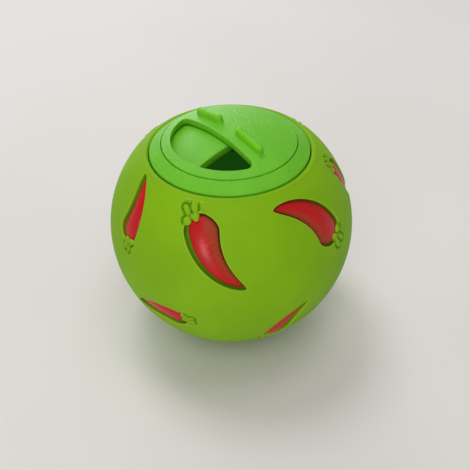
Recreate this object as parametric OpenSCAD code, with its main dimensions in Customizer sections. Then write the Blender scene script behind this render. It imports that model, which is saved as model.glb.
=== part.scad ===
// Treat dispensing ball: a soft rubber ball with pepper inlays,
// a screw-in round lid, and a dial that opens a half-moon port.
// The ball stands on its small flat. The origin is the middle of that flat, and +Z goes up through the lid.

/* [Ball] */
// Radius of the rubber ball
ball_r = 38; // [34:1:46]
// Thickness of the rubber wall
wall = 4; // [3.5:0.5:6]
// Radius of the flat that the ball stands on
base_r = 8; // [5:0.5:11]
// Radius of the rounded edge of the mouth
lip_r = 0.9; // [0.5:0.1:1.4]
// How far the shoulder round the mouth is flattened below the curve of the ball
shoulder_drop = 0.48; // [0.3:0.02:0.8]

/* [Pepper pockets] */
// Radius of the round end of a pocket
pocket_r = 5.2; // [4:0.1:6]
// Length of a pocket along its bend
pocket_len = 27; // [24:0.2:30]
// Radius of the pocket's bend
bend_r = 21.5; // [17:0.5:26]
// Depth of a pocket below the surface of the ball
pocket_depth = 1.8; // [1.2:0.1:2.4]
// Green margin between the wall of a pocket and its pepper
margin = 0.7; // [0.4:0.1:1.2]
// How far the crown of a pepper stays below the surface of the ball
crown_drop = 0.2; // [0:0.1:0.6]

/* [Lid] */
// Outer radius of the lid's collar
lid_r = 24.1; // [23:0.1:26]
// How far the curve of the collar lies inside the curve of the ball
lid_drop = 1.3; // [1:0.1:1.8]
// Thickness of the collar at its edge
collar_t = 2.2; // [1.6:0.1:3]
// Width of the collar that shows round the dial
collar_w = 3.8; // [3:0.1:5]
// Width of the collar's seat outside the skirt
seat_w = 3.6; // [2.6:0.1:4.1]
// Wall of the skirt
skirt_t = 2; // [1.4:0.1:2.4]
// Height of the skirt below the collar
skirt_h = 8; // [6:0.5:11]
// Thickness of the shutter plate under the dial
plate_t = 2.2; // [1.6:0.1:3]
// Direction in which the plate's port opens, in degrees from +X
port_angle = 311; // [0:1:359]

/* [Neck ring] */
// Wall of the rigid ring in the mouth of the ball
ring_t = 2; // [1.5:0.1:2.6]
// Height of the ring
ring_h = 8.8; // [7:0.2:12]
// How far the ring's bead stands out into the rubber
bead_out = 1.6; // [1:0.1:2]
// Height of the bead
bead_h = 2; // [1.4:0.1:3]
// Rubber outside the bead
neck_wall = 1.8; // [1.4:0.1:3]

/* [Dial] */
// Height of the dial's crown above its edge
dial_rise = 4.2; // [3:0.1:5]
// Thickness of the dial
dial_t = 2; // [1.5:0.1:2.6]
// Width of the dial outside the half-moon openings
moon_rim = 2.8; // [2.5:0.1:5]
// Distance of a half-moon's straight edge from the middle of the lid
moon_chord = 3.9; // [3.8:0.1:6]
// Radius of the half-moon's first corner
corner_a = 2; // [0.6:0.1:2.6]
// Radius of the half-moon's second corner
corner_b = 1; // [0.6:0.1:2.6]
// Direction in which the dial's half-moon lies, in degrees from +X
dial_angle = 218; // [0:1:359]
// Length of a grip rib
rib_len = 11.4; // [8:0.2:13]
// Width of a grip rib
rib_w = 2.4; // [1.8:0.1:3]
// Height of a grip rib above the dial
rib_h = 2.3; // [1.4:0.1:3]
// Free length between the two ribs
rib_gap = 6.8; // [5:0.2:10]

/* [Pivot] */
// Radius of the dial's pivot boss
boss_r = 2.3; // [2:0.1:2.6]
// Radius of the flat pad under the plate
pad_r = 3.7; // [3.2:0.1:3.7]
// Height of the pad
pad_h = 0.5; // [0.3:0.1:1]
// Radius of the retaining washer
washer_r = 3.4; // [2.9:0.1:3.6]
// Thickness of the washer
washer_t = 0.8; // [0.5:0.1:1.2]
// Radius of the screw's shank
screw_r = 1.2; // [1:0.1:1.4]
// Radius of the screw's head
head_r = 2.4; // [2:0.1:2.8]
// Height of the screw's head
head_h = 1.5; // [1:0.1:2]
// Plastic left above the end of the screw
screw_cover = 0.9; // [0.6:0.1:1.2]

/* [Clearances] */
// Gap between the lid and the mouth, the seat and the ring
lid_gap = 0.25; // [0.15:0.05:0.35]
// Gap between the underside of the dial and the plate
dial_gap = 0.3; // [0.2:0.05:0.4]
// Gap round the edge of the dial
edge_gap = 0.2; // [0.1:0.05:0.3]
// Running clearance of the pivot boss in its hole
pivot_fit = 0.08; // [0.04:0.01:0.1]
// Play between the washer and the pad
play = 0.15; // [0.1:0.05:0.25]
// Layer of glue under a pepper
glue = 0.12; // [0.1:0.02:0.2]

/* [Hidden] */

$fn = 96;
lime = "#7fae22";
grass = "#5cb931";
red = "#b8242b";
steel = "#b9bcc0";

// Where each pepper lies: degrees round from the front, degrees below the rim of the mouth, turn of its tip
pepper_angles = [
    [-57.5, 20.1, 97.9],
    [-10, 29.8, -57.9],
    [46.2, 19.6, 130.5],
    [91.6, 29.3, -65.9],
    [143, 30.2, -60],
    [-166, 19.2, 128],
    [-112, 27.2, -72],
    [-39.6, 66.8, 186],
    [26.2, 73, 62.4],
    [84, 70.2, 196],
    [140, 76.2, 55],
    [-158, 70.2, 190],
    [-111, 74.2, 110]
];
// Share of the full size of each pepper, negative where it bends the other way
pepper_shares = [0.8, 1, 0.99, 0.8, 1, 0.97, -0.9, 0.78, -0.78, 0.9, -0.9, 0.9, 0.85];
// Steps along a pocket's edge and along a pepper
edge_steps = 16;
ring_steps = 16;
// Steps along a half-moon's arc, round its corners and round the lip of the mouth
moon_steps = 36;
corner_steps = 5;
lip_steps = 8;
// Positions across a pepper from one edge to the other, as shares of its half-width
crown_shares = [-1, -0.88, -0.62, -0.3, 0, 0.3, 0.62, 0.88, 1];
seat_shares = [0.5, 0, -0.5];
// Rise of a pepper's side where it leaves the floor, as a share of its height
side_share = 0.3;
// How late a pocket narrows on its way to the tip, from 0 for a straight cone
late_share = 0.16;
// How blunt the tip is, from 0 for a sharp point
blunt_share = 0.39;

overrun = 2;
centre_z = sqrt(ball_r * ball_r - base_r * base_r);
floor_r = ball_r - pocket_depth;
mouth_r = lid_r + lid_gap;
rim_angle = acos(mouth_r / ball_r);
dial_r = lid_r - collar_w;
skirt_r = lid_r - seat_w;
moon_r = dial_r - moon_rim;

// Heights of the lid, from the middle of the ball
lid_curve_r = ball_r - lid_drop;
lid_edge_z = sqrt(lid_curve_r * lid_curve_r - lid_r * lid_r);
seat_z = lid_edge_z - collar_t;
ring_top_z = seat_z - lid_gap;
ring_low_z = ring_top_z - ring_h;
skirt_low_z = seat_z - skirt_h;
dial_edge_z = sqrt(lid_curve_r * lid_curve_r - dial_r * dial_r);
dome_r = (dial_r * dial_r + dial_rise * dial_rise) / (2 * dial_rise);
dome_z = dial_edge_z + dial_rise - dome_r;
plate_top_r = dome_r - dial_t - dial_gap;
plate_low_r = plate_top_r - plate_t;
pad_z = dome_z + plate_low_r - pad_h;
boss_low_z = pad_z - play;
washer_low_z = boss_low_z - washer_t;
screw_top_z = dome_z + dome_r - screw_cover;
hole_r = boss_r + pivot_fit;
ring_in_r = skirt_r + lid_gap;
ring_out_r = ring_in_r + ring_t;
bead_r = ring_out_r + bead_out;
bead_z = (ring_top_z + ring_low_z - bead_h) / 2;
neck_r = bead_r + neck_wall;

// Middle of the lip's round edge, which runs on into the shoulder, and the reach of the shoulder's flank;
// the flank is square to the line from the middle of the ball through the rim
lip_x = mouth_r + lip_r;
shoulder_r = ball_r - shoulder_drop;
lip_z = (shoulder_r - lip_r - lip_x * cos(rim_angle)) / sin(rim_angle);
shoulder_reach = sqrt(ball_r * ball_r - shoulder_r * shoulder_r) + overrun;

// Pepper's narrowing at the tip, as a multiple of the margin at its round end
tip_share = 1.4;

// Half-width of a pocket of end radius r and length l at the distance s from its round end
function half_width(s, r, l) = s < r
    ? sqrt(max(0, r * r - (r - s) * (r - s)))
    : r * pow(max(0, 1 - pow((s - r) / (l - r), 1 + late_share)), 1 - blunt_share);
// Steps that crowd together at both ends
function eased(i, n) = (1 - cos(180 * i / n)) / 2;
// Point at the distance s along the bend and w to its left, with the middle of the full bend at the origin
function bend_point(s, w, middle, bend) =
    let (a = (s - middle) / bend * 180 / PI) [(bend - w) * sin(a), bend - (bend - w) * cos(a)];

function pocket_outline(share) =
    let (r = pocket_r * share, l = pocket_len * share, b = bend_r * share)
    concat(
        [for (i = [0 : edge_steps])
            let (s = l * eased(i, edge_steps))
            bend_point(s, -half_width(s, r, l), l / 2, b)],
        [for (i = [edge_steps - 1 : -1 : 1])
            let (s = l * eased(i, edge_steps))
            bend_point(s, half_width(s, r, l), l / 2, b)]
    );
// Points along an arc round c from the angle a0 to a1
function arc(c, r, a0, a1, n) =
    [for (i = [0 : n]) let (a = a0 + (a1 - a0) * i / n) c + r * [cos(a), sin(a)]];

// Turns a pepper that is drawn at the top of the ball to its own place
module at_pepper(which) {
    angles = pepper_angles[which];
    rotate([0, 0, angles[0] - 90])
        rotate([0, 90 - rim_angle + angles[1], 0])
            rotate([0, 0, 90 + angles[2]])
                mirror([0, pepper_shares[which] < 0 ? 1 : 0, 0])
                    children();
}

// Puts a solid drawn round the middle of the ball on the flat
module raised() {
    translate([0, 0, centre_z])
        children();
}

// Whole ball, with its seam on the side where no pepper lies
module turned_ball(r) {
    rotate([0, 0, 180])
        sphere(r = r);
}

// All pockets, down to their common floor
module pockets() {
    difference() {
        for (which = [0 : len(pepper_shares) - 1])
            at_pepper(which)
                linear_extrude(height = ball_r + overrun)
                    polygon(pocket_outline(abs(pepper_shares[which])));
        turned_ball(floor_r);
    }
}

// Hollow of the ball, round the thick neck
module cavity() {
    difference() {
        sphere(r = ball_r - wall);
        translate([0, 0, ring_low_z])
            cylinder(r = neck_r, h = ball_r);
    }
}

// Bore with the groove for the bead, the seat of the collar, the rounded lip and the shoulder round it
module mouth() {
    rotate_extrude()
        polygon(concat(
            [
                [0, ring_low_z - overrun],
                [ring_out_r, ring_low_z - overrun],
                [ring_out_r, bead_z],
                [bead_r, bead_z],
                [bead_r, bead_z + bead_h],
                [ring_out_r, bead_z + bead_h],
                [ring_out_r, ring_top_z],
                [mouth_r, ring_top_z]
            ],
            arc([lip_x, lip_z], lip_r, 180, rim_angle, lip_steps),
            [
                shoulder_r * [cos(rim_angle), sin(rim_angle)]
                    + shoulder_reach * [sin(rim_angle), -cos(rim_angle)],
                [ball_r, ball_r],
                [0, ball_r]
            ]
        ));
}

module ball_shell() {
    color(lime)
        raised()
            difference() {
                turned_ball(ball_r);
                pockets();
                cavity();
                mouth();
                translate([-ball_r, -ball_r, -centre_z - ball_r])
                    cube([2 * ball_r, 2 * ball_r, ball_r]);
            }
}

module neck_ring() {
    color(grass)
        raised()
            difference() {
                union() {
                    translate([0, 0, ring_low_z])
                        cylinder(r = ring_out_r, h = ring_h);
                    translate([0, 0, bead_z])
                        cylinder(r = bead_r, h = bead_h);
                }
                translate([0, 0, ring_low_z - overrun])
                    cylinder(r = ring_in_r, h = ring_h + 2 * overrun);
            }
}

// A pepper follows the floor of its pocket and swells to a crown just under the surface of the ball
module pepper_inlay(which) {
    full = abs(pepper_shares[which]);
    r = pocket_r * full - margin;
    b = bend_r * full;
    middle = pocket_len * full / 2;
    l = pocket_len * full - margin * (1 + tip_share);
    seat_r = floor_r + glue;
    crown = pocket_depth - glue - crown_drop;
    function height(s, t) = crown * sqrt(half_width(s, r, l) / r)
        * (side_share + (1 - side_share) * sqrt(max(0, 1 - t * t)));
    function on_ball(q, d) = [q[0], q[1], sqrt((seat_r + d) * (seat_r + d) - q[0] * q[0] - q[1] * q[1])];
    function section(s) = let (w = half_width(s, r, l)) concat(
        [for (t = crown_shares) on_ball(bend_point(s + margin, t * w, middle, b), height(s, t))],
        [on_ball(bend_point(s + margin, w, middle, b), 0)],
        [for (t = seat_shares) on_ball(bend_point(s + margin, t * w, middle, b), 0)],
        [on_ball(bend_point(s + margin, -w, middle, b), 0)]
    );
    count = len(crown_shares) + len(seat_shares) + 2;
    points = concat(
        [for (i = [1 : ring_steps - 1]) each section(l * eased(i, ring_steps))],
        [on_ball(bend_point(margin, 0, middle, b), 0), on_ball(bend_point(l + margin, 0, middle, b), 0)]
    );
    last = ring_steps - 2;
    head = len(points) - 2;
    tip = len(points) - 1;
    color(red)
        raised()
            at_pepper(which)
                polyhedron(
                    points = points,
                    faces = concat(
                        [for (i = [0 : last - 1]) for (k = [0 : count - 1])
                            let (n = (k + 1) % count)
                            [i * count + k, i * count + n, (i + 1) * count + n]],
                        [for (i = [0 : last - 1]) for (k = [0 : count - 1])
                            let (n = (k + 1) % count)
                            [i * count + k, (i + 1) * count + n, (i + 1) * count + k]],
                        [for (k = [0 : count - 1]) [head, (k + 1) % count, k]],
                        [for (k = [0 : count - 1]) [tip, last * count + k, last * count + (k + 1) % count]]
                    )
                );
}

// Middle of a corner's arc, which touches the straight edge and the outer arc
function corner_centre(r, side) =
    [moon_chord + r, side * sqrt((moon_r - r) * (moon_r - r) - (moon_chord + r) * (moon_chord + r))];

// Half-moon with its straight edge at the distance moon_chord and its two corners rounded
function moon_points() =
    let (a = corner_centre(corner_a, 1), b = corner_centre(corner_b, -1))
    let (top = atan2(a[1], a[0]), low = 360 + atan2(b[1], b[0]))
    concat(
        arc(b, corner_b, 180, low, corner_steps),
        arc([0, 0], moon_r, low, 360 + top, moon_steps),
        arc(a, corner_a, top, 180, corner_steps)
    );

module moon(angle) {
    rotate([0, 0, angle])
        linear_extrude(height = ball_r + overrun)
            polygon(moon_points());
}

// Collar, shutter plate and threaded skirt in one moulding
module lid_base() {
    color(grass)
        raised()
            difference() {
                union() {
                    difference() {
                        union() {
                            intersection() {
                                sphere(r = lid_curve_r);
                                translate([0, 0, seat_z])
                                    cylinder(r = lid_r, h = ball_r);
                            }
                            translate([0, 0, skirt_low_z])
                                cylinder(r = skirt_r, h = skirt_h + overrun / 4);
                        }
                        intersection() {
                            cylinder(r = skirt_r - skirt_t, h = ball_r);
                            translate([0, 0, dome_z])
                                sphere(r = plate_low_r);
                        }
                        difference() {
                            cylinder(r = dial_r + edge_gap, h = ball_r + overrun);
                            translate([0, 0, dome_z])
                                sphere(r = plate_top_r);
                        }
                    }
                    translate([0, 0, pad_z])
                        cylinder(r = pad_r, h = pad_h + plate_t / 2);
                }
                translate([0, 0, skirt_low_z])
                    cylinder(r = hole_r, h = ball_r);
                moon(port_angle);
            }
}

module grip_rib(side) {
    along = side * (rib_gap + rib_len) / 2;
    straight = rib_len - rib_w;
    top = rib_h - rib_w / 2;
    root = dial_t / 2;
    translate([0, 0, dome_z])
        rotate([-asin(along / dome_r), 0, 0])
            translate([0, 0, dome_r]) {
                translate([0, 0, -root])
                    linear_extrude(height = root + top)
                        union() {
                            square([rib_w, straight], center = true);
                            for (e = [-1, 1])
                                translate([0, e * straight / 2])
                                    circle(r = rib_w / 2);
                        }
                translate([0, 0, top]) {
                    rotate([90, 0, 0])
                        cylinder(r = rib_w / 2, h = straight, center = true);
                    for (e = [-1, 1])
                        translate([0, e * straight / 2, 0])
                            sphere(r = rib_w / 2);
                }
            }
}

module dial() {
    color(grass)
        raised()
            difference() {
                union() {
                    intersection() {
                        difference() {
                            translate([0, 0, dome_z])
                                sphere(r = dome_r);
                            translate([0, 0, dome_z])
                                sphere(r = dome_r - dial_t);
                        }
                        cylinder(r = dial_r, h = ball_r);
                    }
                    translate([0, 0, boss_low_z])
                        cylinder(r = boss_r, h = dome_z + dome_r - dial_t / 2 - boss_low_z);
                    rotate([0, 0, dial_angle])
                        for (side = [-1, 1])
                            grip_rib(side);
                }
                translate([0, 0, boss_low_z - overrun])
                    cylinder(r = screw_r, h = screw_top_z - boss_low_z + overrun);
                moon(dial_angle);
            }
}

module pivot_washer() {
    color(steel)
        raised()
            translate([0, 0, washer_low_z])
                difference() {
                    cylinder(r = washer_r, h = washer_t);
                    translate([0, 0, -overrun])
                        cylinder(r = screw_r + pivot_fit, h = washer_t + 2 * overrun);
                }
}

module pivot_screw() {
    color(steel)
        raised()
            union() {
                translate([0, 0, washer_low_z - head_h])
                    cylinder(r = head_r, h = head_h);
                translate([0, 0, washer_low_z - head_h / 2])
                    cylinder(r = screw_r, h = screw_top_z - washer_low_z + head_h / 2);
            }
}

ball_shell();
neck_ring();
pepper_inlay(0);  // pepper_inlay_1
pepper_inlay(1);  // pepper_inlay_2
pepper_inlay(2);  // pepper_inlay_3
pepper_inlay(3);  // pepper_inlay_4
pepper_inlay(4);  // pepper_inlay_5
pepper_inlay(5);  // pepper_inlay_6
pepper_inlay(6);  // pepper_inlay_7
pepper_inlay(7);  // pepper_inlay_8
pepper_inlay(8);  // pepper_inlay_9
pepper_inlay(9);  // pepper_inlay_10
pepper_inlay(10);  // pepper_inlay_11
pepper_inlay(11);  // pepper_inlay_12
pepper_inlay(12);  // pepper_inlay_13
lid_base();
dial();
pivot_washer();
pivot_screw();
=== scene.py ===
import math
import time

import bmesh
import bpy
import numpy as np
from mathutils import Matrix, Vector
from mathutils.geometry import delaunay_2d_cdt


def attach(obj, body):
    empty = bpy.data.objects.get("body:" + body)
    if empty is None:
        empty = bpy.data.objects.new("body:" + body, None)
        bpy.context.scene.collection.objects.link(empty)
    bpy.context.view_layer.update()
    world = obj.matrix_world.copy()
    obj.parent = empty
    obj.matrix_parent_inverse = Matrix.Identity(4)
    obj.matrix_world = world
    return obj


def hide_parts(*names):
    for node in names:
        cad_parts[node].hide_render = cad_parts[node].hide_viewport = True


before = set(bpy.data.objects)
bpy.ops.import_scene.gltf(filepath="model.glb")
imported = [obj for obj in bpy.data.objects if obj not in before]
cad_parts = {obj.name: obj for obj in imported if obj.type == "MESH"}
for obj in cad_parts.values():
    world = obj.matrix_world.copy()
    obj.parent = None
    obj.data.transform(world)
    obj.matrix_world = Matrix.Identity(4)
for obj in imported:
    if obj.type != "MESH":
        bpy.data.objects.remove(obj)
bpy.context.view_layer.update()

began = time.time()


def report(stage):
    print("%5.1f s  %s" % (time.time() - began, stage))


# sizes are in millimetres and heights count from the middle of the ball, as in the model's own source
ball = dict(
    r=38, wall=4, baseR=8, lipR=0.9, mouthR=24.35, neckR=26.15,
    shoulderR=37.52,   # distance of the flattened flank round the mouth
    ridge=0.06,        # height of the fine raised line round the lip
    flank=0.62,        # width of the flattened flank that is carried round with the lip
    footRim=0.7,       # how far past the flat base its own rings reach
    around=192,        # points round the lip, the neck and the inside
    spacing=1.35,      # between the points of the bare surface
)
lid = dict(
    r=24.1, curveR=36.7, collarT=2.2,   # the collar, whose top follows a sphere inside the ball's
    skirtR=20.5, skirtT=2, skirtH=8, plateT=2.2,
    portAngle=311,                      # where its half-moon points
    around=240, edge=0.22,
)
ring = dict(t=2, h=8.8, beadOut=1.6, beadH=2, gap=0.25)
dial = dict(
    r=20.3, rise=4.2, t=2,
    moonR=17.5, chord=3.9, cornerA=2, cornerB=1,   # its half-moon: the arc, the straight edge and two corners
    angle=218,                                     # where it points at rest
    gap=0.3, edgeGap=0.2, around=240, edge=0.28,
)
pivot = dict(
    bossR=2.3, padR=3.7, padH=0.5, washerR=3.4, washerT=0.8, screwR=1.2, headR=2.4, headH=1.5,
    cover=0.9, fit=0.08, play=0.15,   # plastic over the screw, clearance in the hole and play under the pad
)

centreZ = math.sqrt(ball["r"] ** 2 - ball["baseR"] ** 2)
rimAngle = math.degrees(math.acos(ball["mouthR"] / ball["r"]))
lidEdgeZ = math.sqrt(lid["curveR"] ** 2 - lid["r"] ** 2)
seatZ = lidEdgeZ - lid["collarT"]
ringTopZ = seatZ - ring["gap"]
ringLowZ = ringTopZ - ring["h"]
skirtLowZ = seatZ - lid["skirtH"]
dialEdgeZ = math.sqrt(lid["curveR"] ** 2 - dial["r"] ** 2)
domeR = (dial["r"] ** 2 + dial["rise"] ** 2) / (2 * dial["rise"])
domeZ = dialEdgeZ + dial["rise"] - domeR
plateTopR = domeR - dial["t"] - dial["gap"]
plateLowR = plateTopR - lid["plateT"]
padZ = domeZ + plateLowR - pivot["padH"]
bossLowZ = padZ - pivot["play"]
washerLowZ = bossLowZ - pivot["washerT"]
screwTopZ = domeZ + domeR - pivot["cover"]
ringInR = lid["skirtR"] + ring["gap"]
ringOutR = ringInR + ring["t"]
beadR = ringOutR + ring["beadOut"]
beadZ = (ringTopZ + ringLowZ - ring["beadH"]) / 2


# meshes from grids of points
def gridFaces(rows, columns, around=True):
    # quads between neighbours of a grid of points; the last column joins the first if it runs around
    i = np.arange(rows - 1)[:, None] * columns
    j = np.arange(columns if around else columns - 1)[None]
    k = (j + 1) % columns
    return np.stack([i + j, i + k, i + columns + k, i + columns + j], -1).reshape(-1, 4)


class Patches:
    # gathers patches of a closed surface; each point has a mark, a number that its finish reads, and points that
    # coincide become one when the piece is made
    weld = 2e-4   # points that round to the same step of this many millimetres coincide

    def __init__(self):
        self.points, self.triangles, self.marks, self.count = [], [], [], 0

    def add(self, points, faces, mark=0.0):
        points = np.asarray(points, float).reshape(-1, 3)
        faces = np.asarray(faces)
        if faces.shape[1] == 4:
            faces = np.concatenate([faces[:, [0, 1, 2]], faces[:, [0, 2, 3]]])
        self.points.append(points)
        self.triangles.append(faces + self.count)
        self.marks.append(np.broadcast_to(mark, len(points)).astype(float))
        self.count += len(points)

    def grid(self, points, around=True, mark=0.0):
        rows, columns = points.shape[:2]
        self.add(points, gridFaces(rows, columns, around), np.broadcast_to(mark, (rows, columns)).reshape(-1))

    def make(self, name, body, nodes, slot, sharp=60):
        points, marks = np.concatenate(self.points), np.concatenate(self.marks)
        triangles = np.concatenate(self.triangles)
        _, first, same = np.unique(np.round(points / self.weld).astype(np.int64), axis=0,
                                   return_index=True, return_inverse=True)
        triangles = same.reshape(-1)[triangles]
        a, b, c = triangles.T
        triangles = triangles[(a != b) & (b != c) & (a != c)]
        points = points[first]
        mesh = bpy.data.meshes.new(name)
        mesh.from_pydata(((points + (0, 0, centreZ)) / 1000).tolist(), [], triangles.tolist())
        spread = mesh.attributes.new("mark", "FLOAT", "POINT")
        spread.data.foreach_set("value", marks[first].astype(np.float32))
        solid = bmesh.new()
        solid.from_mesh(mesh)
        bmesh.ops.recalc_face_normals(solid, faces=solid.faces)
        openEdges = sum(not edge.is_manifold for edge in solid.edges)
        solid.to_mesh(mesh)
        solid.free()
        mesh.polygons.foreach_set("use_smooth", np.ones(len(mesh.polygons), bool))
        mesh.set_sharp_from_angle(angle=math.radians(sharp))
        piece = bpy.data.objects.new(name, mesh)
        bpy.context.scene.collection.objects.link(piece)
        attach(piece, body)
        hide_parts(*nodes)
        report("%s: %d triangles, %d open edges" % (name, len(triangles), openEdges))
        return piece


def circle(r, z, n):
    # n points at equal angles on a level circle
    a = 2 * np.pi * np.arange(n) / n
    return np.stack([r * np.cos(a), r * np.sin(a), np.full(n, float(z))], -1)


def revolve(profile, n):
    # each point r, z of the profile carried round the upright axis at n equal angles
    profile = np.asarray(profile, float)
    a = 2 * np.pi * np.arange(n) / n
    r, z = profile[:, :1], profile[:, 1:]
    return np.stack([r * np.cos(a), r * np.sin(a), np.broadcast_to(z, (len(profile), n))], -1)


def rounded(path, steps=5):
    # a line of r, z, radius whose corners become arcs of their radius; a corner of no radius stays
    made = []
    for k, (r, z, turn) in enumerate(path):
        here = np.array([r, z], float)
        if not turn or k in (0, len(path) - 1):
            made.append(here[None])
            continue
        back = np.array(path[k - 1][:2], float) - here
        on = np.array(path[k + 1][:2], float) - here
        back, on = back / np.linalg.norm(back), on / np.linalg.norm(on)
        half = math.acos(np.clip(back @ on, -1, 1)) / 2
        middle = here + (back + on) / np.linalg.norm(back + on) * turn / math.sin(half)
        a = here + back * turn / math.tan(half) - middle
        b = here + on * turn / math.tan(half) - middle
        t = np.linspace(0, 1, steps + 1)[:, None]
        sweep = math.pi - 2 * half
        made.append(middle + (a * np.sin((1 - t) * sweep) + b * np.sin(t * sweep)) / math.sin(sweep))
    return np.concatenate(made)


def fill(loops, loose):
    # Delaunay triangles over closed loops of plane points and the loose points between them
    points = np.concatenate([*loops, loose])
    edges, start = [], 0
    for loop in loops:
        index = np.arange(len(loop)) + start
        edges.append(np.stack([index, np.roll(index, -1)], -1))
        start += len(loop)
    made = delaunay_2d_cdt(points.tolist(), np.concatenate(edges).tolist(), [], 0, 1e-9)
    back = np.array([o[0] if len(o) else -1 for o in made[3]])
    triangles = back[np.array(made[2])]
    return points, triangles[(triangles >= 0).all(1)]


def inside(spots, loop):
    # whether each spot is inside a closed loop: an odd number of the loop's edges cross the line to its right
    x, y = spots[:, 0, None], spots[:, 1, None]
    ax, ay = loop.T
    bx, by = np.roll(loop, -1, 0).T
    crosses = (ay > y) != (by > y)
    with np.errstate(divide="ignore", invalid="ignore"):
        reach = ax + (y - ay) * (bx - ax) / (by - ay)
    return (np.where(crosses, reach > x, False).sum(1) % 2).astype(bool)


# the peppers, drawn in their own plane; each has its degrees round from the front, degrees below the rim of the mouth,
# turn of its tip, side of its bend and share of the full size
peppers = [
    (-57.5, 20.1, 97.9, 1, 0.8), (-10, 29.8, -57.9, 1, 1), (46.2, 19.6, 130.5, 1, 0.99), (91.6, 29.3, -65.9, 1, 0.8),
    (143, 30.2, -60, 1, 1), (-166, 19.2, 128, 1, 0.97), (-112, 27.2, -72, -1, 0.9), (-39.6, 66.8, 186, 1, 0.78),
    (26.2, 73, 62.4, -1, 0.78), (84, 70.2, 196, 1, 0.9), (140, 76.2, 55, -1, 0.9), (-158, 70.2, 190, 1, 0.9),
    (-111, 74.2, 110, 1, 0.85),
]
pocket = dict(
    r=5.2, length=27, bend=21.5, depth=1.8,   # of a full-size pepper's pocket, and the radius of its bend
    taper=1.16, blunt=0.61,                   # how its sides run in to the tip
    tipShare=1.4,                             # how much more the tip draws in than the sides
    steps=64,                                 # points along each side
    edge=0.3, foot=0.35,                      # rounding where the skin turns in, and at the floor
    hem=0.15,                                 # skin outside the rounding that belongs to the wall's rings
)
# the leafy head of a full-size pepper: two ends and a radius for each puffy lobe and for the sunken leaf beside them
leaf = dict(
    lobes=[(-16.3, 0.6, -14.7, 0.55, 0.9), (-15.6, 3.05, -14.75, 2.8, 1.1), (-12.8, -0.75, -12.75, -0.7, 1.35),
           (-12.35, 1.9, -12.3, 1.95, 1.1)],
    sunk=(-14.1, 4.55, -11.6, 4.5, 0.7),
    top=0.16, groove=0.75, width=0.45,             # rise of the lobes, depth and width of the groove round them
    middle=(-14.1, 1.4), reach=4.6, spacing=0.2,   # where the skin has finer points, and how far apart they are
)


def turned(axis, degrees):
    # a turn about one axis as a 3 by 3 array
    return np.array(Matrix.Rotation(math.radians(degrees), 3, axis))


def place(p):
    # turns a pepper drawn at the top of the ball to its own place
    bearing, below, tip, side = p[:4]
    onSide = turned("Z", bearing - 90) @ turned("Y", 90 - rimAngle + below)
    return onSide @ turned("Z", 90 + tip) @ np.diag([1, side, 1])


def onBall(p, flat, r):
    # plane points lifted straight up to the sphere of radius r and turned to the pepper's place
    z = np.sqrt(np.asarray(r) ** 2 - (flat ** 2).sum(-1))
    return np.concatenate([flat, z[..., None]], -1) @ place(p).T


def halfWidth(s, r, length):
    # a round head of radius r, then r (1 - u^taper)^blunt with u the share of the way to the tip
    head = np.sqrt(np.maximum(0, r * r - (r - s) ** 2))
    tail = r * (1 - np.clip((s - r) / (length - r), 0, 1) ** pocket["taper"]) ** pocket["blunt"]
    return np.where(s < r, head, tail)


def bendPoint(s, w, middle, bend):
    # the point at the distance s along an arc of radius bend and w to its left
    a = (s - middle) / bend
    return np.stack([(bend - w) * np.sin(a), bend - (bend - w) * np.cos(a)], -1)


def lobesOf(share):
    # both ends and the radius of each lobe of a pepper of this size
    lobes = np.array(leaf["lobes"]) * share
    return lobes[:, :2], lobes[:, 2:4], lobes[:, 4]


def lobeDistance(flat, share):
    # distance of each point from the middle line of each lobe, and the lobes' radii
    a, b, r = lobesOf(share)
    run = b - a
    t = np.clip(((flat[..., None, :] - a) * run).sum(-1) / (run ** 2).sum(-1), 0, 1)
    return np.linalg.norm(flat[..., None, :] - a - t[..., None] * run, axis=-1), r


def leafHeight(flat, share):
    # puffy lobes that rise from a groove round all of them, above the ball's own curve, and a sunken leaf beside them
    d, r = lobeDistance(flat, share)
    deep, top, unset = leaf["groove"], leaf["top"], -9.0
    dome = -deep + (deep + top) * np.clip(1 - (d / r) ** 2, 0, 1) ** 0.4
    dome = np.where(d < r, dome, unset).max(-1)
    outside = -deep * np.exp(-(np.maximum(0, (d - r).min(-1)) / leaf["width"]) ** 2)
    ax, ay, bx, by, wide = leaf["sunk"]
    a, b = np.array([ax, ay]) * share, np.array([bx, by]) * share
    run = b - a
    along = np.clip(((flat - a) * run).sum(-1) / (run @ run), 0, 1)
    far = np.linalg.norm(flat - a - along[..., None] * run, axis=-1)
    outside = np.minimum(outside, -0.55 * deep * (0.4 + 0.6 * along) * np.exp(-(far / wide / share) ** 2))
    return np.where(dome > unset, dome, outside)


def outline(share, inset, steps):
    # closed edge of a pocket, moved inwards by inset, with the lobes of the leafy head dented into it
    full, middle, bend = pocket["r"] * share, pocket["length"] * share / 2, pocket["bend"] * share
    tips = inset * (pocket["tipShare"] if inset > 0 else 1)
    r, length = full - inset, pocket["length"] * share - inset - tips
    s = length * (1 - np.cos(np.pi * np.arange(steps + 1) / steps)) / 2
    w = halfWidth(s, r, length)
    right, left = bendPoint(s + inset, -w, middle, bend), bendPoint(s + inset, w, middle, bend)
    flat = np.concatenate([right, left[-2:0:-1]])
    head = bendPoint(np.array(full), np.array(0.0), middle, bend)
    out = flat - head
    reach = np.linalg.norm(out, axis=-1)
    a, b, lobeR = lobesOf(share)
    for centre, r in zip((a + b) / 2, lobeR + inset):
        away = centre - head
        along = out @ away / reach
        across = away @ away - along ** 2
        near = along - np.sqrt(np.maximum(0, r * r - across))
        hit = (across < r * r) & (along > 0) & (near < reach)
        out = np.where(hit[:, None], out * (near / reach)[:, None], out)
        reach = np.linalg.norm(out, axis=-1)
    return head + out


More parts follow.
